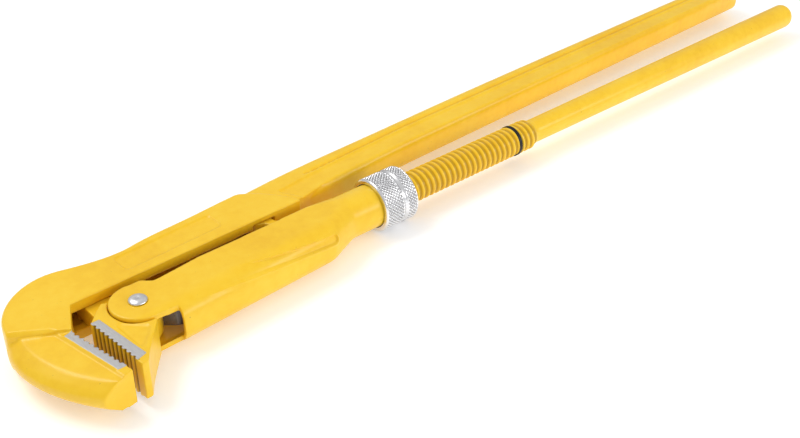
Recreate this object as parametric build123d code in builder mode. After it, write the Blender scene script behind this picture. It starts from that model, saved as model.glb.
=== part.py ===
"""Swedish-pattern pipe wrench with 90 degree jaws, 750 mm long, lying flat on a bench."""
from build123d import *
from math import cos, radians, sin
import os

os.makedirs("parts", exist_ok=True)

# ---- where the tool lies: the leg's axis is parallel to X, above the bench by the nut's radius ----
NUT_R = 19.375
AXIS_X = -71.98
AXIS_Y = -7.95
MID = Plane((AXIS_X, AXIS_Y, NUT_R))       # mid-plane of the tool, its origin on the leg's axis


def across(x):
    """Plane square to the leg's axis at station x, with its own x along +Y and y along +Z."""
    return Plane(origin=MID.from_local_coords((x, 0, 0)), x_dir=(0, 1, 0), z_dir=(1, 0, 0))


# ---- driving dimensions, mm: x along the leg's axis, y towards the main lever ----
HANDLE_END = 447.0
HANDLE_HALF = 11.25                        # half thickness of the handle at its bead
WEB_DROP = 1.25                            # the web's face lies this far below the bead
HEAD_HALF = 14.375                         # half thickness of the slotted head
HANDLE_END_CORNER = 7.5
HANDLE_EDGE = 6.25                         # edge radii of the forging
HEAD_EDGE = 2.75
HOOK_HALF = 12.0                           # half thickness of the hook jaw
# outer side of the hook at each height: (height, how far it lies in from the mid-plane's outline)
HOOK_SIDE = ((-HOOK_HALF, 9.4), (-6.9, 3.25), (-2.75, 0.5), (2.75, 0.5), (6.9, 3.25), (HOOK_HALF, 9.4))
STRIP_RISE = 0.625                         # ground strips stand this far above the painted faces

PIVOT = (-225.625, -7.5)                   # jaw rivet's axis
PIVOT_R = 5.0
FULCRUM = (-115.625, 26.25)                # the lower leg rocks about this axis
NOSE_R = 8.75
SEAT_LENGTH = 25.0                         # the nose's seat is open towards the lower leg this far
RUNNING = 0.06                             # radial running clearance
SLIP = 0.375                               # clearance between sliding faces

PANEL = (-178.5, 34.75)                   # recessed panel on each side of the head
PANEL_SIZE = (73.0, 16.75)
PANEL_TURN = 2.6                           # degrees
PANEL_CORNER = 3.5
RECESS_DEPTH = 1.0                         # of the panel and of the jaw's three-cornered recess

SLOT_HALF = 7.0                            # half width of the mortise in the head
MORTISE_BACK_Y = 39.0
UNDERCUT_HALF = 10.375                     # half width of the mortise behind its lips
GUIDE = (-243.125, 30.75)                  # centre of the jaw's guide head inside the mortise
GUIDE_R = 5.25
UNDERCUT = GUIDE_R + 2.8                   # half width of the guide's track, along y
MORTISE_FRONT = -256.25

THREAD_R = 11.375
THREAD_ROOT_R = 9.5
THREAD_PITCH = 5.0
SHANK_FRONT = -92.5
THREAD_START = -50.0
THREAD_END = 115.0
ROD_R = 9.0                                # handle rod at the thread
ROD_END_R = 10.5                           # handle rod at its far end
STOP_X = 95.5                              # travel stop on the thread
STOP_WIDTH = 3.0
STOP_R = 11.7

SLEEVE_HALF = 15.25
SLEEVE_WALL = 3.375
SLEEVE_OPEN_Y = 8.25                       # open edges of the two cheeks
EYE_R = 17.75                              # cheek radius about the rivet
WALL_FRONT = -210.0                        # the closed wall starts here
NECK_X = -90.0
COLLAR_X = -65.0
COLLAR_R = 15.375
COLLAR_END = -35.375

NUT_FRONT = -41.25
NUT_REAR = -12.5
NUT_GROOVE_X = -23.75
NUT_CHAMFER = 1.375
NUT_RECESS_R = COLLAR_R + 0.75             # the front of the nut turns over the collar
RETAINER_X = -38.375                       # ring that keeps the nut on the collar
RING_GROOVE_HALF = 1.25                    # half width of its grooves in the collar and the nut
RING_GROOVE_DEPTH = 1.0
RING_WIDTH = 1.75

TEETH = 10
TOOTH_PITCH = 4.3
TOOTH_GAP_R = 1.2
STRIP_WIDTH = 5.75                         # ground strip beside each jaw's teeth
STRIP_INSET = 1.0                          # the fixed strip runs this far into the head
STRIP_END = 46.0
MOVING_STRIP_WIDTH = 7.25                  # the moving jaw's strip at its tip
JAW_HALF = 13.25
NECK_HALF = 11.5                           # jaw's neck between the cheeks
NECK_R = 12.75

FIXED_TOP = (-268.0, -5.0)                 # ends of the fixed jaw's tooth line
FIXED_TIP = (-258.75, -53.25)
HOOK_TIP = (-258.1, -56.9)                 # corner of the hook beyond its last tooth
MOVING_TOP = (-257.125, -6.875)            # ends of the moving jaw's tooth line
MOVING_TIP = (-252.875, -53.125)


def along(start, end, distance, side=0.0):
    """Point on the line from start to end, and then to its left by side."""
    step = Vector(end[0] - start[0], end[1] - start[1], 0).normalized()
    return (start[0] + step.X * distance - step.Y * side, start[1] + step.Y * distance + step.X * side)


def tooth_gaps(start, end):
    """Centres of the grooves between the teeth along one jaw's tooth line."""
    return [along(start, end, TOOTH_PITCH * (i + 0.9)) for i in range(TEETH)]


# ---- main lever: hook jaw, slotted head and handle in one forging ----
with BuildPart() as main_lever:
    # handle, thinner than the head, with a straight inner edge and a slightly bowed outer edge
    with BuildSketch(MID):
        with BuildLine():
            inner = Line((HANDLE_END, 49.8), (37.5, 36.0))
            blend = TangentArc(inner @ 1, (-71.25, 27.5), tangent=inner % 1)
            step_in = Line(blend @ 1, (-100, 20.625))
            across_head = Line(step_in @ 1, (-131.25, 54.5))
            outer = Spline(across_head @ 1, (-91, 59.75), (-58, 62.25), (-8, 64.25), (83, 67.75),
                           (221.25, 71.25), (HANDLE_END, 75.3))
            Line(outer @ 1, inner @ 0)
        make_face()
    extrude(amount=HANDLE_HALF, both=True)
    fillet(main_lever.edges().filter_by(Axis.Z).group_by(Axis.X)[-1], HANDLE_END_CORNER)
    flats = main_lever.faces().filter_by(Axis.Z)
    fillet(flats.edges().filter_by(GeomType.BSPLINE), HANDLE_EDGE)

    # slotted head and the back of the hook
    with BuildSketch(MID):
        with BuildLine():
            head_in = Line((-85, 19.25), (-257.5, 16.5))
            throat = Line(head_in @ 1, FIXED_TOP)
            crease = Line(throat @ 1, (-299.375, 15.0))
            back = Spline(crease @ 1, (-288.125, 40.5), (-271.25, 52.0), (-255, 54.75), (-237.5, 51.0),
                          (-220, 47.5), (-198.75, 47.75))
            head_out = Spline(back @ 1, (-156.25, 51.4), (-116.25, 54.625),
                              tangents=[back % 1, (1, 0.055)])
            ThreePointArc(head_out @ 1, (-97.5, 40), head_in @ 0)
        make_face()
    extrude(amount=HEAD_HALF, both=True)
    level_faces = main_lever.faces().filter_by(Axis.Z).group_by(Axis.Z)
    head_faces = level_faces[0] + level_faces[-1]
    fillet(head_faces.edges().filter_by(GeomType.BSPLINE), HEAD_EDGE)

    # hook jaw: its outer side rounds out from each face to the mid-plane, its tip is square
    for height, inset in HOOK_SIDE:
        with BuildSketch(MID.offset(height)):
            with BuildLine():
                hook_in = Polyline(FIXED_TOP, (-267.5, 10), (-290 + inset / 2, 32.5 - inset / 2))
                hook_back = Spline(hook_in @ 1, (-302.0 + inset, 12.5), (-302.0 + inset * 1.1, -15),
                                   (-292.5 + inset * 1.1, -40), (-279.375 + inset * 1.1, -59.25))
                Polyline(hook_back @ 1, HOOK_TIP, FIXED_TOP)
            make_face()
    loft(ruled=True)
    # ground strip along the teeth on both faces
    with BuildSketch(MID):
        Polygon(along(FIXED_TOP, FIXED_TIP, -STRIP_INSET), along(FIXED_TOP, FIXED_TIP, STRIP_END + 1.5),
                along(FIXED_TOP, FIXED_TIP, STRIP_END, -STRIP_WIDTH),
                along(FIXED_TOP, FIXED_TIP, 0, -STRIP_WIDTH), align=None)
    extrude(amount=HOOK_HALF + STRIP_RISE, both=True)
    for x, y in tooth_gaps(FIXED_TOP, FIXED_TIP):
        with BuildSketch(MID):
            with Locations((x, y)):
                Circle(TOOTH_GAP_R)
            with Locations((x + TOOTH_GAP_R, y)):
                Rectangle(2 * TOOTH_GAP_R, 2 * TOOTH_GAP_R)
        extrude(amount=HEAD_HALF, both=True, mode=Mode.SUBTRACT)

    # mortise for the jaw's guide, undercut behind its lips, with the fulcrum seat at its rear end
    with BuildSketch(MID):
        with BuildLine():
            Polyline((-262.5, 10), (-259.375, 30), (-250, MORTISE_BACK_Y), (-115, MORTISE_BACK_Y),
                     (-107.5, 10), close=True)
        make_face()
    extrude(amount=SLOT_HALF, both=True, mode=Mode.SUBTRACT)
    with BuildSketch(MID):
        with Locations(((MORTISE_FRONT + FULCRUM[0]) / 2, GUIDE[1])):
            Rectangle(FULCRUM[0] - MORTISE_FRONT, 2 * UNDERCUT)
    extrude(amount=UNDERCUT_HALF, both=True, mode=Mode.SUBTRACT)
    with BuildSketch(MID):
        with Locations(FULCRUM):
            Circle(NOSE_R + RUNNING)
            Rectangle(2 * (NOSE_R + RUNNING), SEAT_LENGTH, align=(Align.CENTER, Align.MAX))
    extrude(amount=UNDERCUT_HALF, both=True, mode=Mode.SUBTRACT)

    # recessed panel on each face of the head, and the handle's recessed web and groove
    for face in (1, -1):
        with BuildSketch(MID.offset(face * HEAD_HALF)):
            with Locations(Location((*PANEL, 0), (0, 0, 1), PANEL_TURN)):
                RectangleRounded(*PANEL_SIZE, PANEL_CORNER)
        extrude(amount=-face * RECESS_DEPTH, mode=Mode.SUBTRACT)
        with BuildSketch(MID.offset(face * HANDLE_HALF)):
            with BuildLine():
                web_out = Line((HANDLE_END + 6, 62.7), (37.5, 51.75))
                web_bend = TangentArc(web_out @ 1, (-87.5, 41.875), tangent=web_out % 1)
                Polyline(web_bend @ 1, (-71.25, 12.5), (HANDLE_END + 6, 31.25), web_out @ 0)
            make_face()
            with BuildLine():
                Polyline((HANDLE_END + 6, 66.4), (37.5, 56.5), (-62.5, 49.5), (-62.5, 48.25),
                         (37.5, 55.0), (HANDLE_END + 6, 64.9), close=True)
            make_face()
        extrude(amount=-face * WEB_DROP, mode=Mode.SUBTRACT)
main_lever.part.label = "main_lever"

# ---- lower leg: rocking nose, threaded shank and round handle rod in one piece ----
with BuildPart() as lower_leg:
    with BuildSketch(Plane(origin=MID.origin, x_dir=(1, 0, 0), z_dir=(0, -1, 0))):
        with BuildLine():
            crests = [(SHANK_FRONT, 0), (SHANK_FRONT, THREAD_ROOT_R), (THREAD_START - 1.25, THREAD_ROOT_R)]
            turns = int((THREAD_END - THREAD_START) / THREAD_PITCH)
            for turn in range(turns):
                x = THREAD_START + turn * THREAD_PITCH
                crests += [(x, THREAD_ROOT_R), (x + 1.375, THREAD_R), (x + 2.625, THREAD_R),
                           (x + 4.0, THREAD_ROOT_R)]
            crests += [(THREAD_END, THREAD_ROOT_R), (THREAD_END + 1.875, ROD_R)]
            crests += [(HANDLE_END - 7.5, ROD_END_R), (HANDLE_END - 1.875, ROD_END_R - 2.5),
                       (HANDLE_END, 5), (HANDLE_END, 0)]
            Polyline(*crests, close=True)
        make_face()
    revolve(axis=Axis(MID.origin, (1, 0, 0)))
    # flat forged front end with its nose in the main lever's mortise
    with BuildSketch(MID):
        with BuildLine():
            Polyline((-86.25, -8.75), (-95.5, -8.75), (-99.4, -5), (-100.2, 0), (-105, 5.6), (-110, 10),
                     (-114.4, 13.75), (-117.2, 18.1), (FULCRUM[0] - 5.75, FULCRUM[1]),
                     (FULCRUM[0] + 5.75, FULCRUM[1]),
                     (-109.25, 16.25), (-105, 11.25), (-86.25, 8.75), close=True)
        make_face()
        with Locations(FULCRUM):
            Circle(NOSE_R)
    extrude(amount=UNDERCUT_HALF - SLIP, both=True)
    # groove for the stop ring
    with BuildSketch(across(STOP_X - STOP_WIDTH / 2)):
        Circle(THREAD_R + 1.25)
        Circle(THREAD_ROOT_R, mode=Mode.SUBTRACT)
    extrude(amount=STOP_WIDTH, mode=Mode.SUBTRACT)
lower_leg.part.label = "lower_leg"

with BuildPart() as stop_ring:
    with BuildSketch(across(STOP_X - STOP_WIDTH / 2)):
        Circle(STOP_R)
        Circle(THREAD_ROOT_R, mode=Mode.SUBTRACT)
    extrude(amount=STOP_WIDTH)
stop_ring.part.label = "stop_ring"


# ---- sleeve: pressed channel, open towards the main lever, drawn into a round collar ----
def channel_section(x, wall_y, open_y, half, corner, open_corner):
    """Cross-section of the channel at station x, rounded on its closed side."""
    with BuildSketch(across(x)) as section:
        with BuildLine():
            FilletPolyline((open_y, half), (wall_y, half), (wall_y, -half), (open_y, -half),
                           radius=[open_corner, corner, corner, open_corner], close=True)
        make_face()
    return section.sketch


with BuildPart() as sleeve:
    FRONT_X = -247.5
    FRONT_WALL_Y = -33.25
    NECK_WALL_Y = -25.5
    ROUND = 12.5
    front = channel_section(FRONT_X, FRONT_WALL_Y, SLEEVE_OPEN_Y + 3.125, SLEEVE_HALF, ROUND, 0.5)
    neck = channel_section(NECK_X, NECK_WALL_Y, SLEEVE_OPEN_Y + 0.75, SLEEVE_HALF, ROUND, 0.5)
    collar_round = COLLAR_R - RUNNING
    neck_end = channel_section(COLLAR_X, -COLLAR_R, COLLAR_R, COLLAR_R, collar_round, collar_round)
    loft([front, neck], ruled=True)
    loft([neck, neck_end], ruled=True)
    with BuildSketch(across(COLLAR_X)):
        Circle(COLLAR_R)
    extrude(amount=COLLAR_END - COLLAR_X)

    # hollow of the channel and the collar's bore
    inner_half = SLEEVE_HALF - SLEEVE_WALL
    inner_round = ROUND - SLEEVE_WALL
    hollow_front = channel_section(FRONT_X - 1, FRONT_WALL_Y + SLEEVE_WALL, 25, inner_half, inner_round, 0.5)
    hollow_rear = channel_section(NECK_X + 5, NECK_WALL_Y + SLEEVE_WALL, 25, inner_half, inner_round, 0.5)
    loft([hollow_front, hollow_rear], ruled=True, mode=Mode.SUBTRACT)
    with BuildSketch(across(NECK_X)):
        Circle(THREAD_R + SLIP)
    extrude(amount=COLLAR_END - NECK_X, mode=Mode.SUBTRACT)

    # outline of the cheeks: a round eye about the rivet, then a straight open edge
    with BuildSketch(MID) as cheek_outline:
        with BuildLine():
            eye_top = (PIVOT[0] + EYE_R * cos(radians(78)), PIVOT[1] + EYE_R * sin(radians(78)))
            eye_low = (PIVOT[0], PIVOT[1] - EYE_R)
            eye = ThreePointArc(eye_low, (PIVOT[0] - EYE_R, PIVOT[1]), eye_top)
            Polyline(eye @ 1, (-214.375, 9.875), (-208.125, 4.5), (-202.5, 4.625), (-175, 7.5),
                     (-118.75, SLEEVE_OPEN_Y), (NECK_X + 5, 9.25), (COLLAR_X, COLLAR_R + 1.25),
                     (COLLAR_END + 1.25, COLLAR_R + 1.25),
                     (COLLAR_END + 1.25, -COLLAR_R - 1.25), (-75, -50), (WALL_FRONT - 1.875, -50),
                     (WALL_FRONT, -37.5), (WALL_FRONT + 1.5, eye_low[1]), eye_low)
        make_face()
    extrude(amount=SLEEVE_HALF + 1.25, both=True, mode=Mode.INTERSECT)
    with BuildSketch(MID.offset(-SLEEVE_HALF - 1.25)):
        with Locations(PIVOT):
            Circle(PIVOT_R)
    extrude(amount=2 * SLEEVE_HALF + 2.5, mode=Mode.SUBTRACT)
    # groove for the nut's retaining ring
    with BuildSketch(across(RETAINER_X - RING_GROOVE_HALF)):
        Circle(COLLAR_R + 1.25)
        Circle(COLLAR_R - 1.5, mode=Mode.SUBTRACT)
    extrude(amount=2 * RING_GROOVE_HALF, mode=Mode.SUBTRACT)
sleeve.part.label = "sleeve"

# ---- moving jaw: toothed working part, round neck between the cheeks, tongue with a guide head ----
with BuildPart() as movable_jaw:
    with BuildSketch(MID):
        with BuildLine():
            gap = EYE_R + 0.625
            horn = (PIVOT[0] + gap * cos(radians(138)), PIVOT[1] + gap * sin(radians(138)))
            heel = (PIVOT[0] + gap * cos(radians(273)), PIVOT[1] + gap * sin(radians(273)))
            shoulder = ThreePointArc(horn, (PIVOT[0] - gap, PIVOT[1]), heel)
            Polyline(shoulder @ 1, (-225.0, -28.0), (-230.0, -33.75), (-236.75, -41.75), (-243.75, -50.5),
                     (-248.25, -57.0), (-252.5, -57.25), MOVING_TIP, MOVING_TOP, (-248.0, 2.375),
                     (-242.75, 6.75), horn)
        make_face()
    extrude(amount=JAW_HALF, both=True)
    with BuildSketch(MID):
        Polygon(MOVING_TOP, along(MOVING_TOP, MOVING_TIP, STRIP_END),
                along(MOVING_TOP, MOVING_TIP, STRIP_END - 1.5, MOVING_STRIP_WIDTH),
                along(MOVING_TOP, MOVING_TIP, 0.5, STRIP_WIDTH), align=None)
    extrude(amount=JAW_HALF + STRIP_RISE, both=True)
    for x, y in tooth_gaps(MOVING_TOP, MOVING_TIP):
        with BuildSketch(MID):
            with Locations((x, y)):
                Circle(TOOTH_GAP_R)
            with Locations((x - TOOTH_GAP_R, y)):
                Rectangle(2 * TOOTH_GAP_R, 2 * TOOTH_GAP_R)
        extrude(amount=JAW_HALF + 1.25, both=True, mode=Mode.SUBTRACT)
    # three-cornered recess on each face
    for face in (1, -1):
        with BuildSketch(MID.offset(face * JAW_HALF)):
            Polygon((-246.5, -14.0), (-231.0, -29.25), (-234.5, -35.0), (-245.25, -46.0), align=None)
            fillet(vertices(), 2.0)
        extrude(amount=-face * RECESS_DEPTH, mode=Mode.SUBTRACT)
    # neck, narrow enough to turn between the cheeks
    with BuildSketch(MID):
        with Locations(PIVOT):
            Circle(NECK_R)
        Polygon((-245, 2.5), (-245, -25), (-227.5, -29), (-225.5, -18), (-230, 5), align=None)
    extrude(amount=NECK_HALF - 2.75, both=True)
    with BuildSketch(MID):
        with Locations(PIVOT):
            Circle(NECK_R - 1.5)
    extrude(amount=NECK_HALF, both=True)
    # tongue and its round guide head
    with BuildSketch(MID):
        Polygon((-248.75, -5), (-248.75, GUIDE[1]), (-240, GUIDE[1]), (-225, 7.5), (-222.5, -5), align=None)
    extrude(amount=SLOT_HALF - SLIP, both=True)
    with BuildSketch(MID):
        with Locations(GUIDE):
            Circle(GUIDE_R)
    extrude(amount=UNDERCUT_HALF - SLIP, both=True)
    with BuildSketch(MID.offset(-JAW_HALF - 1.25)):
        with Locations(PIVOT):
            Circle(PIVOT_R + RUNNING)
    extrude(amount=2 * JAW_HALF + 2.5, mode=Mode.SUBTRACT)
movable_jaw.part.label = "movable_jaw"

# ---- jaw rivet: shank with a low domed head on each cheek ----
with BuildPart() as jaw_rivet:
    HEAD_R = 5.875
    HEAD_RISE = 2.625
    with BuildSketch(Plane(origin=MID.from_local_coords((*PIVOT, 0)), x_dir=(1, 0, 0), z_dir=(0, -1, 0))):
        Rectangle(2 * PIVOT_R, 2 * SLEEVE_HALF)
        rim = SLEEVE_HALF + 0.625
        for end in (1, -1):
            with BuildLine():
                ThreePointArc((-HEAD_R, end * rim), (0, end * (SLEEVE_HALF + HEAD_RISE)), (HEAD_R, end * rim))
                Polyline((HEAD_R, end * rim), (HEAD_R, end * SLEEVE_HALF), (-HEAD_R, end * SLEEVE_HALF),
                         (-HEAD_R, end * rim))
            make_face()
        split(bisect_by=Plane.YZ, keep=Keep.TOP)
    revolve(axis=Axis(MID.from_local_coords((*PIVOT, 0)), (0, 0, 1)))
jaw_rivet.part.label = "jaw_rivet"

# ---- adjusting nut: two knurled bands, the front end recessed over the sleeve's collar ----
with BuildPart() as adjusting_nut:
    with BuildSketch(Plane(origin=MID.origin, x_dir=(1, 0, 0), z_dir=(0, -1, 0))):
        bore = THREAD_R + SLIP
        seat = COLLAR_END + SLIP
        with BuildLine():
            Polyline((NUT_FRONT, NUT_RECESS_R), (NUT_FRONT, NUT_R - NUT_CHAMFER),
                     (NUT_FRONT + NUT_CHAMFER, NUT_R),
                     (NUT_GROOVE_X - 1.875, NUT_R), (NUT_GROOVE_X - 1.0, NUT_R - 1.0),
                     (NUT_GROOVE_X + 1.0, NUT_R - 1.0), (NUT_GROOVE_X + 1.875, NUT_R),
                     (NUT_REAR - NUT_CHAMFER, NUT_R), (NUT_REAR, NUT_R - NUT_CHAMFER), (NUT_REAR, bore + 1.0),
                     (NUT_REAR - 1.0, bore), (seat, bore), (seat, NUT_RECESS_R),
                     (RETAINER_X + RING_GROOVE_HALF, NUT_RECESS_R),
                     (RETAINER_X + RING_GROOVE_HALF, NUT_RECESS_R + RING_GROOVE_DEPTH),
                     (RETAINER_X - RING_GROOVE_HALF, NUT_RECESS_R + RING_GROOVE_DEPTH),
                     (RETAINER_X - RING_GROOVE_HALF, NUT_RECESS_R), close=True)
        make_face()
    revolve(axis=Axis(MID.origin, (1, 0, 0)))
adjusting_nut.part.label = "adjusting_nut"

with BuildPart() as nut_retaining_ring:
    with BuildSketch(across(RETAINER_X - RING_WIDTH / 2)):
        Circle(NUT_RECESS_R + RING_GROOVE_DEPTH)
        Circle(COLLAR_R - 1.0, mode=Mode.SUBTRACT)
    extrude(amount=RING_WIDTH)
nut_retaining_ring.part.label = "nut_retaining_ring"

# ---- leaf spring: lies on the closed wall inside the channel and drags on the jaw's round heel ----
with BuildPart() as leaf_spring:
    SPRING_HALF = 6.25
    with BuildSketch(MID):
        with BuildLine():
            Polyline((-157.5, -24.375), (-175, -25.25), (-197.5, -23.0), (-207.5, -18.75), (-214.1, -13.35),
                     (-213.4, -12.6), (-207.0, -17.5), (-197.0, -21.875), (-175, -24.125), (-157.5, -23.25),
                     close=True)
        make_face()
    extrude(amount=SPRING_HALF, both=True)
leaf_spring.part.label = "leaf_spring"

PIECES = [main_lever, lower_leg, stop_ring, sleeve, movable_jaw, jaw_rivet, adjusting_nut,
          nut_retaining_ring, leaf_spring]
for piece in PIECES:
    export_step(piece.part, "parts/" + piece.part.label + ".step")

everything = Compound(children=[piece.part for piece in PIECES])
box = everything.bounding_box()
print("box", [round(v, 2) for v in (*box.min, *box.max)])
print("centre", round(box.center().X, 2), round(box.center().Y, 2))
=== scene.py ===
"""Looks of a Swedish-pattern pipe wrench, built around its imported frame.

Lengths are in mm unless their name ends in _m. Local coordinates start on the lower leg's axis: X runs
along it towards the handles, Y towards the main lever, and Z up.
"""

import math

import bmesh
import bpy
import numpy as np
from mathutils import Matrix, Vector


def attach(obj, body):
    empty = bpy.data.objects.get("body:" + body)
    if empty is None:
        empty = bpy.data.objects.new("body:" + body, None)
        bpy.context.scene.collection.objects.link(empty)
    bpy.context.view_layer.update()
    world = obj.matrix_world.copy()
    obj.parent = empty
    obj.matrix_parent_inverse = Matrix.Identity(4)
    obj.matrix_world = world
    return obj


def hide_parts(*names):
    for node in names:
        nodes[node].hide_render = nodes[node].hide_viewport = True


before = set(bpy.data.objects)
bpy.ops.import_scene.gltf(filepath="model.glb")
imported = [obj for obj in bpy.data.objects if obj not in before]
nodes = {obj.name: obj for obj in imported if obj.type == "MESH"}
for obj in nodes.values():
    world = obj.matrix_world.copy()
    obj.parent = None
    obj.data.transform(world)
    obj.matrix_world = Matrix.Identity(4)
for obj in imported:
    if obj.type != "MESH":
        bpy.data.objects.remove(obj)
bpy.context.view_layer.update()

MM = 0.001
AXIS = np.array((-71.98, -7.95, 19.375))    # the local origin, in the row's frame

# lower leg
THREAD_R, THREAD_ROOT_R, PITCH = 11.375, 9.5, 5.0
THREAD_START, THREAD_END = -50.0, 115.0
ROD_R, ROD_END_R, HANDLE_END = 9.0, 10.5, 447.0
ROD_START = THREAD_START - 3.0
NOSE_END = THREAD_START - 2.0               # the rod and the nose overlap by 1 mm inside the sleeve
STOP_X, STOP_WIDTH, STOP_PROUD, STOP_CORNER = 95.5, 3.0, 0.31, 0.45

# adjusting nut
NUT_R, NUT_FRONT, NUT_REAR, NUT_GROOVE_X = 19.375, -41.25, -12.5, -23.75
NUT_CHAMFER, NUT_GROOVE_HALF = 1.3, 1.8
COLLAR_R, COLLAR_END = 15.375, -35.375
NUT_BORE_R, NUT_RECESS_R = THREAD_R + 0.375, COLLAR_R + 0.75
KNURLS, KNURL_DEPTH, KNURL_LEAD, KNURL_STEP = 46, 0.75, 1.0, 0.22

# rivet
PIVOT = (-225.625, -7.5)
SLEEVE_HALF = 15.25
HEAD_R, HEAD_RISE = 5.875, 2.625

# jaws: each tooth line runs from its top to its tip, and the sign says on which side its jaw's body is
FIXED_LINE = ((-268.0, -5.0), (-258.75, -53.25), -1)
MOVING_LINE = ((-257.125, -6.875), (-252.875, -53.125), 1)
STRIP_WIDTH, MOVING_STRIP_WIDTH = 5.75, 7.25
HOOK_HALF, JAW_HALF = 12.0, 13.25
HOOK_RIDGE_SLOPE, HOOK_RIDGE_X = 0.62, -268

# main lever's outer groove, as points along the handle
GROOVE_X, GROOVE_Y = (-62.5, 37.5, 453.0), (48.9, 55.75, 65.65)

# sleeve's pressed rib
RIB_START_X, RIB_END_X, RIB_HALF = -205, -90.0, 3.3

YELLOW = (0.90, 0.555, 0.016)
YELLOW_DEEP = (0.85, 0.495, 0.009)
YELLOW_PALE = (0.92, 0.600, 0.030)
# painted shade in the valleys of the leg's thread
YELLOW_ROOT_SHADE = (0.50, 0.285, 0.006)
# painted shade in the gaps between the teeth
GAP_SHADE = (0.20, 0.12, 0.014)
SPECK = (0.30, 0.16, 0.02)
KNURL_SHADE = (0.20, 0.20, 0.205)
STRIP_STEELS = ((0.3, (0.40, 0.39, 0.385)), (0.55, (0.50, 0.49, 0.48)), (0.75, (0.60, 0.59, 0.58)))


# ---------------------------------------------------------------- materials
class Nodes:
    """Short calls for a material's node tree."""

    def __init__(self, name):
        self.mat = bpy.data.materials.new(name)
        self.mat.use_nodes = True
        self.tree = self.mat.node_tree
        self.tree.nodes.clear()
        self.out = self.add("ShaderNodeOutputMaterial")
        self.bsdf = self.add("ShaderNodeBsdfPrincipled")
        self.link(self.bsdf.outputs[0], self.out.inputs[0])
        self.coords = self.add("ShaderNodeTexCoord").outputs["Object"]

    def add(self, kind, **settings):
        node = self.tree.nodes.new(kind)
        for key, value in settings.items():
            setattr(node, key, value)
        return node

    def link(self, a, b):
        self.tree.links.new(a, b)

    def shade(self, **sources):
        """Links outputs to the shader's sockets."""
        for key, source in sources.items():
            self.link(source, self.bsdf.inputs[key.replace("_", " ")])

    def set(self, **values):
        """Sets the shader's own sockets."""
        for key, value in values.items():
            self.bsdf.inputs[key.replace("_", " ")].default_value = value

    def math(self, kind, *values):
        node = self.add("ShaderNodeMath", operation=kind)
        for socket, value in zip(node.inputs, values):
            if isinstance(value, (int, float)):
                socket.default_value = value
            else:
                self.link(value, socket)
        return node.outputs[0]

    def plus(self, a, b):
        return self.math("ADD", a, b)

    def minus(self, a, b):
        return self.math("SUBTRACT", a, b)

    def times(self, first, *others):
        for other in others:
            first = self.math("MULTIPLY", first, other)
        return first

    def above(self, value, limit):
        return self.math("GREATER_THAN", value, limit)

    def below(self, value, limit):
        return self.math("LESS_THAN", value, limit)

    def between(self, value, low, high):
        return self.times(self.above(value, low), self.below(value, high))

    def noise(self, scale, detail=3.0, rough=0.55, stretch=None):
        source = self.coords
        if stretch:
            mapping = self.add("ShaderNodeMapping")
            mapping.inputs["Scale"].default_value = stretch
            self.link(source, mapping.inputs["Vector"])
            source = mapping.outputs[0]
        node = self.add("ShaderNodeTexNoise")
        node.inputs["Scale"].default_value = scale
        node.inputs["Detail"].default_value = detail
        node.inputs["Roughness"].default_value = rough
        self.link(source, node.inputs["Vector"])
        return node.outputs["Fac"]

    def ramp(self, value, stops):
        node = self.add("ShaderNodeValToRGB")
        while len(node.color_ramp.elements) < len(stops):
            node.color_ramp.elements.new(0.5)
        for element, (at, colour) in zip(node.color_ramp.elements, stops):
            element.position = at
            element.color = (*colour, 1.0)
        self.link(value, node.inputs[0])
        return node.outputs[0]

    def mix(self, factor, a, b):
        node = self.add("ShaderNodeMix", data_type="RGBA")
        self.link(factor, node.inputs[0])
        for socket, value in ((node.inputs[6], a), (node.inputs[7], b)):
            if isinstance(value, tuple):
                socket.default_value = (*value, 1.0)
            else:
                self.link(value, socket)
        return node.outputs[2]

    def mix_number(self, factor, a, b):
        node = self.add("ShaderNodeMix", data_type="FLOAT")
        for socket, source in zip(node.inputs[:1] + node.inputs[2:4], (factor, a, b)):
            self.link(source, socket)
        return node.outputs[0]

    def span(self, value, start, end, low=0.0, high=1.0, kind="LINEAR"):
        """low to high, as value goes from start to end."""
        node = self.add("ShaderNodeMapRange", interpolation_type=kind)
        self.link(value, node.inputs["Value"])
        for key, number in (("From Min", start), ("From Max", end), ("To Min", low), ("To Max", high)):
            node.inputs[key].default_value = number
        return node.outputs[0]

    def bump(self, height, strength, distance_m, normal=None):
        node = self.add("ShaderNodeBump")
        node.inputs["Strength"].default_value = strength
        node.inputs["Distance"].default_value = distance_m
        self.link(height, node.inputs["Height"])
        if normal is not None:
            self.link(normal, node.inputs["Normal"])
        return node.outputs[0]

    def position(self):
        node = self.add("ShaderNodeSeparateXYZ")
        self.link(self.coords, node.inputs[0])
        return node.outputs

    def from_axis(self):
        """Position along the leg's axis in the row's frame, and distance from that axis, in metres."""
        x, y, z = self.position()
        dy, dz = self.minus(y, AXIS[1] * MM), self.minus(z, AXIS[2] * MM)
        return x, self.math("SQRT", self.plus(self.times(dy, dy), self.times(dz, dz)))

    def tooth_frame(self, line):
        """Run along a jaw's tooth line, distance out into its body, and height off mid-plane, in metres."""
        top, tip, side = line
        x, y, z = self.position()
        step = Vector((tip[0] - top[0], tip[1] - top[1])).normalized()
        dx = self.minus(x, (AXIS[0] + top[0]) * MM)
        dy = self.minus(y, (AXIS[1] + top[1]) * MM)
        run = self.plus(self.times(dx, step.x), self.times(dy, step.y))
        out = self.plus(self.times(dx, -step.y * side), self.times(dy, step.x * side))
        return run, out, self.math("ABSOLUTE", self.minus(z, AXIS[2] * MM))


def tooth_gap_shade_mask(n, line, low=0.35, high=1.0):
    """1 deep in the gaps between the teeth, which get painted shade. low and high are depths."""
    run, out, level = n.tooth_frame(line)
    ragged = n.plus(out, n.times(n.noise(scale=300, detail=3), 0.0004))
    depth = n.span(ragged, low * MM, high * MM, kind="SMOOTHSTEP")
    inside = n.times(n.between(run, 0.001, 0.0465), n.below(out, 0.0016))
    return n.times(depth, inside, n.below(level, 0.0139))


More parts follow.
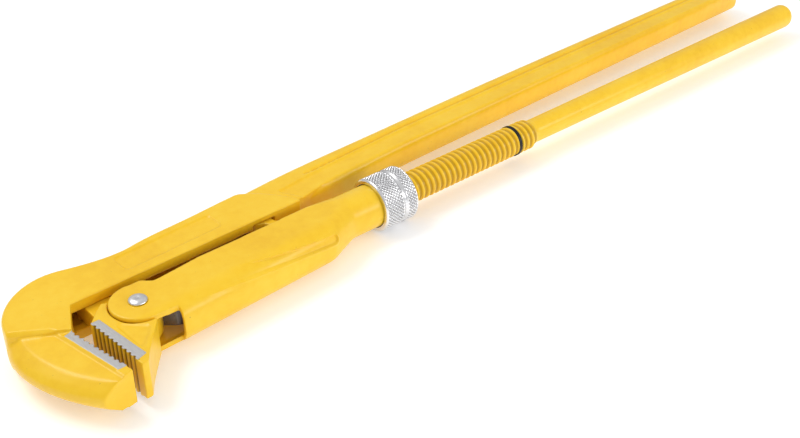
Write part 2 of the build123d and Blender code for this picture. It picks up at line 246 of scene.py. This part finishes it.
def strip_mask(n, line, start, end, widths, height):
    """1 on the ground strip beside a jaw's tooth line, on both faces. widths are at its start and end."""
    run, out, level = n.tooth_frame(line)
    ragged = n.times(n.minus(n.noise(scale=520, detail=2), 0.5), 0.0005)
    grow = (widths[1] - widths[0]) / (end - start)
    wide = n.plus(n.times(n.minus(run, start * MM), grow), (widths[0] - 0.1) * MM)
    beyond = n.minus(n.plus(out, ragged), wide)
    mask = n.times(n.below(beyond, 0.0), n.above(out, -0.004))
    return n.times(mask, n.between(run, start * MM, end * MM), n.above(level, height * MM))


def paint(name, strip=None, gaps=None, root=False):
    """Glossy enamel over a forging: a soft lumpy skin, fine orange peel, slight shifts of colour and gloss.
    strip is what strip_mask takes, gaps is a tooth line whose tooth gaps get painted shade, and root darkens
    the bottom of the leg's thread with painted shade."""
    n = Nodes(name)
    broad, fine = n.noise(scale=22, detail=4), n.noise(scale=190, detail=4)
    tone = n.plus(n.times(broad, 0.65), n.times(fine, 0.35))
    colour = n.ramp(tone, ((0.34, YELLOW_DEEP), (0.5, YELLOW), (0.66, YELLOW_PALE)))
    specks = n.above(n.noise(scale=760, detail=1, rough=0.4), 0.80)
    colour = n.mix(n.times(specks, 0.55), colour, SPECK)
    if gaps:
        # painted shade: the gaps between the teeth are darkened where shade falls
        colour = n.mix(n.times(tooth_gap_shade_mask(n, gaps), 0.72), colour, GAP_SHADE)
    if root:
        # painted shade: the thread is darkened towards its root, where shade falls in the valleys
        x, away = n.from_axis()
        depth = n.span(away, (THREAD_ROOT_R + 0.1) * MM, (THREAD_R - 0.35) * MM, 0.85, 0.0, "SMOOTHSTEP")
        along = n.between(x, (AXIS[0] + THREAD_START) * MM, (AXIS[0] + THREAD_END - 1.0) * MM)
        colour = n.mix(n.times(depth, along), colour, YELLOW_ROOT_SHADE)
    gloss = n.span(n.noise(scale=60, detail=5, rough=0.65), 0.0, 1.0, 0.26, 0.40)
    lumps = n.bump(n.noise(scale=150, detail=3, rough=0.5), strength=0.22, distance_m=0.0006)
    peel = n.noise(scale=900, detail=2, rough=0.5)
    skin = n.bump(peel, strength=0.10, distance_m=0.0002, normal=lumps)
    if strip:
        mask = strip_mask(n, *strip)
        grain = n.noise(scale=60, detail=6, rough=0.7, stretch=(60, 3, 3))
        colour = n.mix(mask, colour, n.ramp(grain, STRIP_STEELS))
        gloss = n.mix_number(mask, gloss, n.span(grain, 0.0, 1.0, 0.42, 0.58))
        skin = n.bump(n.times(mask, grain), strength=0.25, distance_m=0.0002, normal=skin)
        n.shade(Metallic=n.times(mask, 0.30))
    n.shade(Base_Color=colour, Roughness=gloss, Normal=skin)
    n.set(Coat_Weight=0.12, Coat_Roughness=0.16, Specular_IOR_Level=0.36)
    return n.mat


def nut_bands(groove_half):
    """Starts and ends of the nut's two knurled bands, either side of its plain groove."""
    return ((NUT_FRONT + NUT_CHAMFER, NUT_GROOVE_X - groove_half),
            (NUT_GROOVE_X + groove_half, NUT_REAR - NUT_CHAMFER))


def steel(name, low, high, rough, grain_stretch, dirt=0.0, knurl_depths=None):
    """Bare or plated steel with a directional grain and uneven gloss.
    knurl_depths are the radii between which the nut's knurl goes from dark to bright."""
    n = Nodes(name)
    grain = n.noise(scale=70.0, detail=6, rough=0.7, stretch=grain_stretch)
    cloud = n.noise(scale=130, detail=4)
    tone = n.plus(n.times(grain, 0.6), n.times(cloud, 0.4))
    colour = n.ramp(tone, ((0.3, low), (0.7, high)))
    if dirt:
        spots = n.times(n.above(n.noise(scale=420, detail=3), 0.66), dirt)
        colour = n.mix(spots, colour, tuple(v * 0.45 for v in low))
    if knurl_depths:
        x, away = n.from_axis()
        deep, shallow = knurl_depths
        depth = n.span(away, deep * MM, shallow * MM, 1.0, 0.0, "SMOOTHSTEP")
        bands = n.plus(*(n.between(x, (AXIS[0] + start) * MM, (AXIS[0] + end) * MM)
                         for start, end in nut_bands(NUT_GROOVE_HALF)))
        outer = n.times(bands, n.above(away, (NUT_R - 1.6) * MM))
        colour = n.mix(n.times(depth, outer, 0.68), colour, KNURL_SHADE)
    n.shade(Base_Color=colour, Roughness=n.span(cloud, 0.0, 1.0, *rough),
            Normal=n.bump(grain, strength=0.15, distance_m=0.0002))
    n.set(Metallic=1.0)
    return n.mat


lever_paint = paint("lever_paint", gaps=FIXED_LINE,
                    strip=(FIXED_LINE, -0.2, 47.6, (STRIP_WIDTH, STRIP_WIDTH), HOOK_HALF + 0.2))
jaw_paint = paint("jaw_paint", gaps=MOVING_LINE,
                  strip=(MOVING_LINE, -0.4, 46.1, (STRIP_WIDTH, MOVING_STRIP_WIDTH), JAW_HALF + 0.2))
leg_paint = paint("leg_paint", root=True)
sleeve_paint = paint("sleeve_paint")
nut_plating = steel("nut_plating", (0.70, 0.70, 0.72), (0.90, 0.90, 0.91), rough=(0.18, 0.32),
                    grain_stretch=(2, 40, 40), knurl_depths=(NUT_R - 0.62, NUT_R - 0.22))
rivet_steel = steel("rivet_steel", (0.62, 0.62, 0.64), (0.86, 0.86, 0.87), rough=(0.22, 0.36),
                    grain_stretch=(6, 6, 6), dirt=0.25)
ring_black = steel("ring_black", (0.020, 0.020, 0.022), (0.060, 0.058, 0.056), rough=(0.38, 0.55),
                   grain_stretch=(2, 30, 30))
spring_steel = steel("spring_steel", (0.10, 0.10, 0.12), (0.26, 0.24, 0.22), rough=(0.30, 0.5),
                     grain_stretch=(3, 40, 3), dirt=0.3)


# ---------------------------------------------------------------- mesh helpers
def new_object(name, mesh, material):
    obj = bpy.data.objects.new(name, mesh)
    bpy.context.scene.collection.objects.link(obj)
    mesh.materials.clear()
    mesh.materials.append(material)
    return obj


def turned(name, profile, segments, material, relief=None, centre=(0.0, 0.0, 0.0), along="X"):
    """A solid of revolution. profile is rows of (station, radius), closed through its inside.
    relief(stations, radii, angles) gives the radii, so that threads and knurls are cut into the surface."""
    rows = np.array(profile, float)
    angle = np.linspace(0, 2 * math.pi, segments, endpoint=False)
    station = np.repeat(rows[:, 0:1], segments, axis=1)
    radius = np.repeat(rows[:, 1:2], segments, axis=1)
    if relief is not None:
        radius = relief(station, radius, np.repeat(angle[None, :], len(rows), axis=0))
    a, b = radius * np.cos(angle), radius * np.sin(angle)
    points = np.stack((station, a, b) if along == "X" else (a, b, station), axis=-1)
    points = (points + np.array(centre) + AXIS) * MM
    count = len(rows)
    ends_on_axis = rows[0, 1] < 1e-6 and rows[-1, 1] < 1e-6
    faces = []
    for i in range(count - 1 if ends_on_axis else count):
        k = (i + 1) % count
        for j in range(segments):
            m = (j + 1) % segments
            faces.append((i * segments + j, i * segments + m, k * segments + m, k * segments + j))
    mesh = bpy.data.meshes.new(name)
    mesh.from_pydata([tuple(v) for v in points.reshape(-1, 3)], [], faces)
    mesh.update()
    clean = bmesh.new()
    clean.from_mesh(mesh)
    bmesh.ops.remove_doubles(clean, verts=clean.verts, dist=1e-6)
    bmesh.ops.recalc_face_normals(clean, faces=clean.faces)
    clean.to_mesh(mesh)
    clean.free()
    mesh.shade_smooth()
    return new_object(name, mesh, material)


def copy_of(node, name, material):
    """A welded copy of a CAD node's mesh."""
    mesh = nodes[node].data.copy()
    mesh.name = name
    weld = bmesh.new()
    weld.from_mesh(mesh)
    bmesh.ops.remove_doubles(weld, verts=weld.verts, dist=2e-6)
    weld.to_mesh(mesh)
    weld.free()
    return new_object(name, mesh, material)


def apply_modifiers(obj):
    """The object's evaluated mesh becomes its own mesh."""
    bpy.context.view_layer.update()
    evaluated = obj.evaluated_get(bpy.context.evaluated_depsgraph_get())
    done = bpy.data.meshes.new_from_object(evaluated)
    obj.modifiers.clear()
    obj.data = done
    obj.data.shade_smooth()
    return obj


def points_of(obj):
    """A mesh's points in local mm."""
    co = np.empty(len(obj.data.vertices) * 3, np.float32)
    obj.data.vertices.foreach_get("co", co)
    return co.reshape(-1, 3).astype(float) / MM - AXIS


def put_points(obj, local):
    obj.data.vertices.foreach_set("co", ((local + AXIS) * MM).astype(np.float32).ravel())
    obj.data.update()


def soften(obj, times, share=None):
    """Relaxes a surface. share(points), from 0 to 1, is how far each point takes part."""
    relax = obj.modifiers.new("relax", "SMOOTH")
    relax.factor = 0.5
    relax.iterations = times
    if share is not None:
        obj.vertex_groups.clear()
        group = obj.vertex_groups.new(name="relaxed")
        eighths = np.round(share(points_of(obj)) * 8).astype(int)
        for eighth in range(1, 9):
            group.add(np.nonzero(eighths == eighth)[0].tolist(), eighth / 8, "REPLACE")
        relax.vertex_group = group.name
    return apply_modifiers(obj)


def forged(obj, voxel, times, share=None):
    """Remeshes evenly and relaxes the surface, which rounds each edge as forging and paint do."""
    remesh = obj.modifiers.new("even", "REMESH")
    remesh.mode = "VOXEL"
    remesh.voxel_size = voxel * MM * 1.0
    remesh.use_smooth_shade = True
    apply_modifiers(obj)
    return soften(obj, times, share)


def ease(t):
    """Smooth step from 0 to 1."""
    t = np.clip(t, 0, 1)
    return t * t * (3 - 2 * t)


def tooth_frame(p, line):
    """Run along a jaw's tooth line, and distance out from it into the jaw's body."""
    top, tip, side = line
    step = np.array((tip[0] - top[0], tip[1] - top[1]))
    step = step / np.linalg.norm(step)
    d = p[:, :2] - np.array(top)
    return d @ step, side * (d[:, 1] * step[0] - d[:, 0] * step[1])


def spare_teeth(run, out, edge, end):
    """Share of relaxing: little on the teeth and the ground strip as far as edge and end, full elsewhere."""
    band = ease((out + 4) / 1.0) * ease((edge + 0.5 - out) / 0.6)
    return 1 - 0.88 * band * ease((run + 1) / 0.5) * ease((end - run) / 0.5)


# ---------------------------------------------------------------- main lever
def before_hook_ridge(p, y):
    """1 on the hook's side of the slanting line that meets HOOK_RIDGE_X at y."""
    return ease((y - p[:, 1] - HOOK_RIDGE_SLOPE * (p[:, 0] - HOOK_RIDGE_X)) / 3.0)


def off_fixed_teeth(p):
    run, out = tooth_frame(p, FIXED_LINE)
    return spare_teeth(run, out, STRIP_WIDTH, 49)


def hook_side(p):
    """The hook's outer side, between its faces."""
    out = tooth_frame(p, FIXED_LINE)[1]
    beyond = ease((out - STRIP_WIDTH - 5.0) / 4.0) * ease((-246 - p[:, 0]) / 4.0)
    return beyond * before_hook_ridge(p, 9.0) * ease((HOOK_HALF + 1.2 - np.abs(p[:, 2])) / 0.8)


def along_handle(p):
    return ease((p[:, 0] + 60) / 10)


lever = forged(copy_of("main_lever", "main_lever_forging", lever_paint), 0.55, 8, off_fixed_teeth)
soften(lever, 70, hook_side)
soften(lever, 10, along_handle)
p = points_of(lever)
out = tooth_frame(p, FIXED_LINE)[1]
level = np.abs(p[:, 2])
on_hook = before_hook_ridge(p, -2.0) * (p[:, 0] < -240) * (level / HOOK_HALF) ** 1.5
# behind the ground strip the face steps down to a lens-shaped pad that falls away to its outer ridge
step_down = 1.1 * ease((out - STRIP_WIDTH - 0.1) / 2.4)
fall = 0.055 * np.clip(out - 9, 0, 40)
p[:, 2] -= np.sign(p[:, 2]) * on_hook * (step_down + fall)
# the groove along the handle's outer edge, deeper and softer than the CAD's
from_groove = p[:, 1] - np.interp(p[:, 0], GROOVE_X, GROOVE_Y)
handle_face = ease((p[:, 0] + 60) / 8) * ease((438 - p[:, 0]) / 10) * (level > 7.0)
p[:, 2] -= np.sign(p[:, 2]) * handle_face * 0.85 * np.exp(-(from_groove / 1.5) ** 2)
put_points(lever, p)
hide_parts("main_lever")
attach(lever, "lever")


# ---------------------------------------------------------------- moving jaw
def moving_strip_edge(run):
    """The ground strip's width, which grows along the tooth line."""
    return STRIP_WIDTH + (MOVING_STRIP_WIDTH - STRIP_WIDTH) * np.clip(run / 45, 0, 1)


def off_moving_teeth(p):
    run, out = tooth_frame(p, MOVING_LINE)
    return spare_teeth(run, out, moving_strip_edge(run), 47)


def jaw_flank(p):
    run, out = tooth_frame(p, MOVING_LINE)
    return ease((out - moving_strip_edge(run) - 0.8) / 1.5) * ease((-12.0 - p[:, 1]) / 6.0)


jaw = forged(copy_of("movable_jaw", "movable_jaw_forging", jaw_paint), 0.38, 9, off_moving_teeth)
soften(jaw, 45, jaw_flank)
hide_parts("movable_jaw")
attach(jaw, "jaw")


# ---------------------------------------------------------------- sleeve
def sleeve_neck(p):
    return ease((p[:, 0] + 108) / 10) * ease((-46 - p[:, 0]) / 8) * ease((-p[:, 1] - 2) / 8)


def sleeve_closed_side(p):
    return ease((-p[:, 1] - 9) / 7) * ease((-50 - p[:, 0]) / 8) * ease((p[:, 0] + 209) / 10)


sleeve = forged(copy_of("sleeve", "sleeve_pressing", sleeve_paint), 0.55, 8)
soften(sleeve, 60, sleeve_neck)
soften(sleeve, 110, sleeve_closed_side)
p = points_of(sleeve)
# pressed rib along the closed side, shallow and wide, ending round before the neck
rib_z = 6.3 + 0.085 * (-86 - p[:, 0])
ahead = np.clip(p[:, 0] - RIB_END_X, 0, None)
reach = np.sqrt((p[:, 2] - rib_z) ** 2 + ahead ** 2)
wall = ease((-p[:, 1] - 14) / 5) * ease((p[:, 0] - RIB_START_X) / 60)
outline = np.exp(-((reach - RIB_HALF) / 0.75) ** 2)
hollow = ease((RIB_HALF - reach) / 1.2)
p[:, 1] += wall * (1.5 * hollow - 0.55 * outline)
put_points(sleeve, p)
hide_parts("sleeve")
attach(sleeve, "slide")


# ---------------------------------------------------------------- lower leg, with its true thread
def thread_relief(x, r, angle):
    """Right-hand trapezoidal thread with softened flanks, running out over its first and last turns."""
    phase = (x - THREAD_START - PITCH * angle / (2 * math.pi)) % PITCH
    rise, top, fall = 1.25, 2.35, 3.6
    falling = np.clip((fall - phase) / (fall - top), 0, 1)
    flank = np.where(phase < rise, phase / rise, np.where(phase < top, 1.0, falling))
    height = 0.5 * flank + 0.5 * ease(flank)
    fade = ease((x - THREAD_START) / PITCH) * ease((THREAD_END - x) / (0.8 * PITCH))
    groove = np.abs(x - STOP_X) < STOP_WIDTH / 2
    cut = THREAD_ROOT_R + (THREAD_R - THREAD_ROOT_R) * height * fade
    inside = (x >= THREAD_START) & (x <= THREAD_END)
    return np.where(inside & ~groove, cut, np.where(groove, THREAD_ROOT_R, r))


ROUNDED_END = 8
profile = [(ROD_START, 0.0), (ROD_START, THREAD_ROOT_R - 0.02)]
profile += [(x, THREAD_ROOT_R) for x in np.arange(THREAD_START, THREAD_END + 0.01, 0.3)]
profile += [(THREAD_END + 1.9, ROD_R)]
for x in np.arange(THREAD_END + 4, HANDLE_END - ROUNDED_END - 1, 4.0):
    share = (x - THREAD_END) / (HANDLE_END - THREAD_END)
    profile.append((x, ROD_R + (ROD_END_R - ROD_R) * share))
for turn in np.linspace(0, 90, 10):
    a = math.radians(turn)
    profile.append((HANDLE_END - ROUNDED_END + ROUNDED_END * math.sin(a),
                    ROD_END_R - ROUNDED_END + ROUNDED_END * math.cos(a)))
profile.append((HANDLE_END, 0.0))
rod = turned("lower_leg_rod", profile, 96, leg_paint, thread_relief)

nose = copy_of("lower_leg", "lower_leg_nose", leg_paint)
cut = bmesh.new()
cut.from_mesh(nose.data)
bmesh.ops.bisect_plane(cut, geom=cut.verts[:] + cut.edges[:] + cut.faces[:], dist=1e-7,
                       plane_co=((AXIS[0] + NOSE_END) * MM, 0, 0), plane_no=(1, 0, 0), clear_outer=True)
bmesh.ops.holes_fill(cut, edges=[e for e in cut.edges if e.is_boundary])
cut.to_mesh(nose.data)
cut.free()
forged(nose, 0.5, 4)
for piece in (rod, nose):
    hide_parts("lower_leg")
    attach(piece, "leg")


# ---------------------------------------------------------------- adjusting nut, with its diamond knurl
def knurl_relief(x, r, angle):
    """Two crossing families of grooves on the bands; the groove between them and the chamfers stay plain."""
    lead = KNURLS * angle / (2 * math.pi)
    slant = x * KNURLS * KNURL_LEAD / (2 * math.pi * NUT_R)
    ridge = [1 - 2 * np.abs((lead + sign * slant) % 1.0 - 0.5) for sign in (1, -1)]
    height = np.minimum(np.clip(ridge[0] * 1.7, 0, 1), np.clip(ridge[1] * 1.7, 0, 1))
    bands = np.zeros_like(x)
    for low, high in nut_bands(NUT_GROOVE_HALF + 0.1):
        bands += ease((x - low) / 0.6) * ease((high - x) / 0.6)
    outer = r > NUT_R - 0.02
    return np.where(outer, r - bands * KNURL_DEPTH * (1 - height), r)


def nut_surface(start, end):
    return [(x, NUT_R) for x in np.arange(start, end, KNURL_STEP)]


# rows of (station off an end, depth below the outer radius)
chamfer = ((0.0, 1.3), (0.35, 0.75), (1.2, 0.0))
plain_groove = ((-NUT_GROOVE_HALF, 0.0), (-1.0, 0.95), (0.0, 1.05), (1.0, 0.95), (NUT_GROOVE_HALF, 0.0))
profile = [(NUT_FRONT, NUT_RECESS_R)]
profile += [(NUT_FRONT + off, NUT_R - depth) for off, depth in chamfer]
profile += nut_surface(NUT_FRONT + 1.4, NUT_GROOVE_X - 1.9)
profile += [(NUT_GROOVE_X + off, NUT_R - depth) for off, depth in plain_groove]
profile += nut_surface(NUT_GROOVE_X + 2.0, NUT_REAR - 1.3)
profile += [(NUT_REAR - off, NUT_R - depth) for off, depth in reversed(chamfer)]
profile += [(NUT_REAR, NUT_BORE_R + 1.0), (NUT_REAR - 1.0, NUT_BORE_R),
            (COLLAR_END + 0.375, NUT_BORE_R), (COLLAR_END + 0.375, NUT_RECESS_R)]
profile += [(x, NUT_RECESS_R) for x in np.linspace(COLLAR_END - 0.5, NUT_FRONT + 0.6, 6)]
nut = turned("adjusting_nut_knurled", profile, 600, nut_plating, knurl_relief)
# the end faces and the recess stay flat-shaded, so that their edges read as machined
for polygon in nut.data.polygons:
    centre = polygon.center
    away = math.hypot(centre[1] / MM - AXIS[1], centre[2] / MM - AXIS[2])
    polygon.use_smooth = away > NUT_R - 1.1 or away < NUT_BORE_R + 0.6
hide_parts("adjusting_nut")
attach(nut, "nut")

# ---------------------------------------------------------------- rivet and rings
half = [(SLEEVE_HALF - 0.15, 5.0), (SLEEVE_HALF + 0.05, HEAD_R - 0.15), (SLEEVE_HALF + 0.45, HEAD_R)]
for share in np.linspace(0.06, 1.0, 16):
    radius = HEAD_R * math.cos(share * math.pi / 2)
    rise = 0.5 + (HEAD_RISE - 0.62) * math.sin(share * math.pi / 2)
    dimple = 0.5 * math.exp(-(radius / 1.7) ** 2)
    half.append((SLEEVE_HALF + rise - dimple, radius if share < 1 else 0.0))
profile = [(-z, r) for z, r in reversed(half)] + half
rivet = turned("jaw_rivet_headed", profile, 72, rivet_steel, centre=(*PIVOT, 0), along="Z")
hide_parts("jaw_rivet")
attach(rivet, "slide")


def round_section(middle, width, inner, outer, corner):
    """Profile of a ring with rounded corners."""
    rows = []
    for side, face, start in ((1, 1, 0), (-1, 1, 90), (-1, -1, 180), (1, -1, 270)):
        for turn in np.linspace(start, start + 90, 5):
            a = math.radians(turn)
            x = middle + side * (width / 2 - corner) + corner * math.cos(a)
            r = (inner + outer) / 2 + face * ((outer - inner) / 2 - corner) + corner * math.sin(a)
            rows.append((x, r))
    return rows


section = round_section(STOP_X, STOP_WIDTH, THREAD_ROOT_R, THREAD_R + STOP_PROUD, STOP_CORNER)
stop = turned("stop_ring_round", section, 96, ring_black)
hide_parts("stop_ring")
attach(stop, "leg")

for node in ("nut_retaining_ring", "leaf_spring"):
    piece = nodes[node]
    piece.data.materials.clear()
    piece.data.materials.append(spring_steel)

# ---------------------------------------------------------------- stage, light and camera
FLOOR_SIZE_M, FLOOR_GLOW, WORLD_STRENGTH = 9.0, 0.24, 0.68
PAPER = ((0.3, (0.93, 0.93, 0.93)), (0.7, (0.95, 0.95, 0.95)))
LOW_SKY, HIGH_SKY = (0.55, 0.555, 0.56, 1.0), (1.0, 1.0, 1.0, 1.0)

bpy.ops.mesh.primitive_plane_add(size=FLOOR_SIZE_M, location=(0, 0, 0))
floor = bpy.context.object
floor.name = "floor"
surface = Nodes("floor_paper")
surface.shade(Base_Color=surface.ramp(surface.noise(scale=3, detail=3), PAPER))
surface.set(Roughness=0.75, Emission_Color=(1.0, 1.0, 1.0, 1.0), Emission_Strength=FLOOR_GLOW)
floor.data.materials.append(surface.mat)

world = bpy.data.worlds.new("studio")
bpy.context.scene.world = world
world.use_nodes = True
shell = world.node_tree
heading = shell.nodes.new("ShaderNodeTexCoord")
axes = shell.nodes.new("ShaderNodeSeparateXYZ")
band = shell.nodes.new("ShaderNodeMapRange")
tones = shell.nodes.new("ShaderNodeValToRGB")
tones.color_ramp.elements[0].color = LOW_SKY
tones.color_ramp.elements[1].color = HIGH_SKY
band.inputs["From Min"].default_value, band.inputs["From Max"].default_value = -0.05, 0.55
shell.links.new(heading.outputs["Generated"], axes.inputs[0])
shell.links.new(axes.outputs[2], band.inputs["Value"])
shell.links.new(band.outputs[0], tones.inputs[0])
shell.links.new(tones.outputs[0], shell.nodes["Background"].inputs[0])
shell.nodes["Background"].inputs[1].default_value = WORLD_STRENGTH


def aim(obj, place_m, direction):
    obj.location = place_m
    obj.rotation_euler = direction.to_track_quat("-Z", "Y").to_euler()
    bpy.context.scene.collection.objects.link(obj)


def area(name, place_m, target_m, size_m, watts):
    data = bpy.data.lights.new(name, "AREA")
    data.shape, data.energy = "RECTANGLE", watts
    data.size, data.size_y = size_m
    aim(bpy.data.objects.new(name, data), place_m, Vector(target_m) - Vector(place_m))


area("key", (-0.7, 0.7, 1.5), (-0.1, 0, 0), (1.0, 0.7), 12)
area("side", (0.5, -1.3, 0.55), (-0.05, 0, 0), (1.5, 0.35), 8)

CAMERA_AT = (-481.0, -542.75, 455.0)        # local mm
CAMERA_DOWN = math.radians(33.7)
SENSOR, LENS = 36.0, 54.54
look = Vector((0.6525, 0.7578, 0)).normalized() * math.cos(CAMERA_DOWN)
look.z = -math.sin(CAMERA_DOWN)
camera_data = bpy.data.cameras.new("camera")
camera_data.sensor_width = SENSOR
camera_data.lens = LENS
camera = bpy.data.objects.new("camera", camera_data)
aim(camera, (np.array(CAMERA_AT) + AXIS) * MM, look)
bpy.context.scene.camera = camera
bpy.context.scene.view_settings.view_transform = "Standard"
